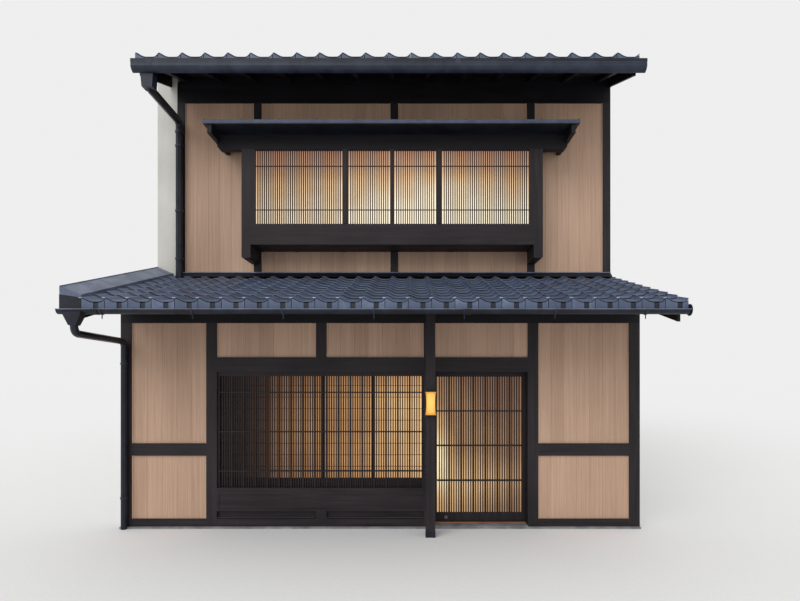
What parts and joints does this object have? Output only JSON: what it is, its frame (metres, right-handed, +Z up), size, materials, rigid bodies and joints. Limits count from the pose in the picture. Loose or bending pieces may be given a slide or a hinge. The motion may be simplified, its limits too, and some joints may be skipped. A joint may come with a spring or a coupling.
{
  "type": "machiya townhouse",
  "caption": "Narrow timber townhouse in a row, with a lattice front, a sliding lattice door, a bay lattice window, tiled pent roofs and a tiled gable roof.",
  "frame": {"origin": "ground level, at the centre of the plan", "axes": "+Z up, -Y out of the street front, +X to the right seen from the street"},
  "size_m": [6.085, 11.502, 7.3458],
  "materials": {
    "stone": "cut stone and lime render, matt",
    "plaster": "smooth lime plaster, matt",
    "dark_timber": "stained cedar, matt",
    "panel_board": "fine-grained cedar board, satin",
    "floor_board": "planed boards, satin",
    "clay_tile": "smoked clay, soft sheen",
    "dark_metal": "baked enamel on sheet steel",
    "strap_metal": "satin steel",
    "paper": "lit paper screen",
    "lamp_shade": "lit shade",
    "window_glass": "clear glass"
  },
  "bodies": {
    "house": {"foundation": "stone", "ground_floor": "stone", "upper_floor": "floor_board", "party_wall_left": "plaster", "party_wall_right": "plaster", "front_posts": "dark_timber", "front_sills": "dark_timber", "front_lintel": "dark_timber", "front_rails": "dark_timber", "front_panels": "panel_board", "front_wall_plate": "dark_timber", "entry_post": "dark_timber", "entry_lamp": "lamp_shade", "window_base": "dark_timber", "window_lattice": "dark_timber", "window_screen": "paper", "threshold": "stone", "door_tracks": "dark_metal", "pent_roof_front": "clay_tile", "pent_roof_rear": "clay_tile", "pent_rafters": "dark_timber", "pent_cappings": "dark_metal", "pent_gutter_front": "dark_metal", "pent_gutter_rear": "dark_metal", "upper_front_beams": "dark_timber", "upper_front_posts": "dark_timber", "upper_front_panels": "panel_board", "bay_cheeks": "dark_timber", "bay_base": "dark_timber", "bay_head": "dark_timber", "bay_lattice": "dark_timber", "bay_screen": "paper", "bay_roof": "dark_metal", "bay_verge_boards": "dark_timber", "upper_roof_front": "clay_tile", "upper_roof_rear": "clay_tile", "roof_ridge": "clay_tile", "ridge_beam": "dark_timber", "upper_rafters": "dark_timber", "verge_boards": "dark_timber", "fascias": "dark_timber", "upper_gutter_front": "dark_metal", "upper_gutter_rear": "dark_metal", "wall_capping": "dark_metal", "upper_downpipe": "dark_metal", "pent_downpipe": "dark_metal", "rear_posts": "dark_timber", "rear_beams": "dark_timber", "rear_plates": "dark_timber", "rear_panels": "panel_board", "rear_window_frames": "dark_timber", "rear_glass": "window_glass"},
    "entry_door": {"door_frame": "dark_timber", "door_lattice": "dark_timber", "door_screen": "paper", "door_rollers": "strap_metal", "door_lock": "strap_metal"}
  },
  "joints": [
    {"name": "entry_door_slide", "type": "slide", "parent": "house", "child": "entry_door", "axis": [1, 0, 0], "range_m": [0, 0.94]}
  ]
}
